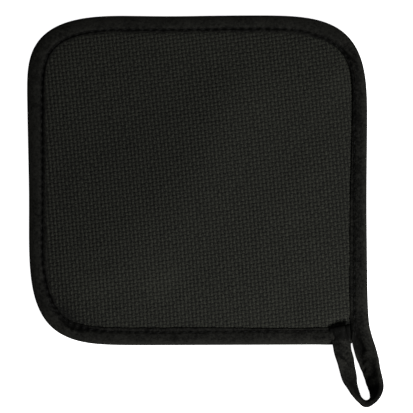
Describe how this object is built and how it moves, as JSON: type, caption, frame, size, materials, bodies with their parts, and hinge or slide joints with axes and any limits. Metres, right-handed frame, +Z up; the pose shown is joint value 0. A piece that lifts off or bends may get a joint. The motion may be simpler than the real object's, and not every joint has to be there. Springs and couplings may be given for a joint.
{
  "type": "pot holder",
  "caption": "Square padded cloth pot holder with a bound edge and a hanging loop at one corner.",
  "frame": {"origin": "centre of the bound square, on the flat underside that rests on the surface", "axes": "+X to the side whose lower corner carries the hanging loop, +Y to the top edge, away from the loop, +Z up out of the face"},
  "size_m": [0.2131, 0.2344, 0.0131],
  "materials": {
    "panel_cloth": "coarse plain-woven cotton, dyed near black",
    "tape_cloth": "folded cotton tape, dyed near black"
  },
  "bodies": {
    "root": {"panel": "panel_cloth", "binding": "tape_cloth", "hanging_loop": "tape_cloth"}
  },
  "joints": []
}
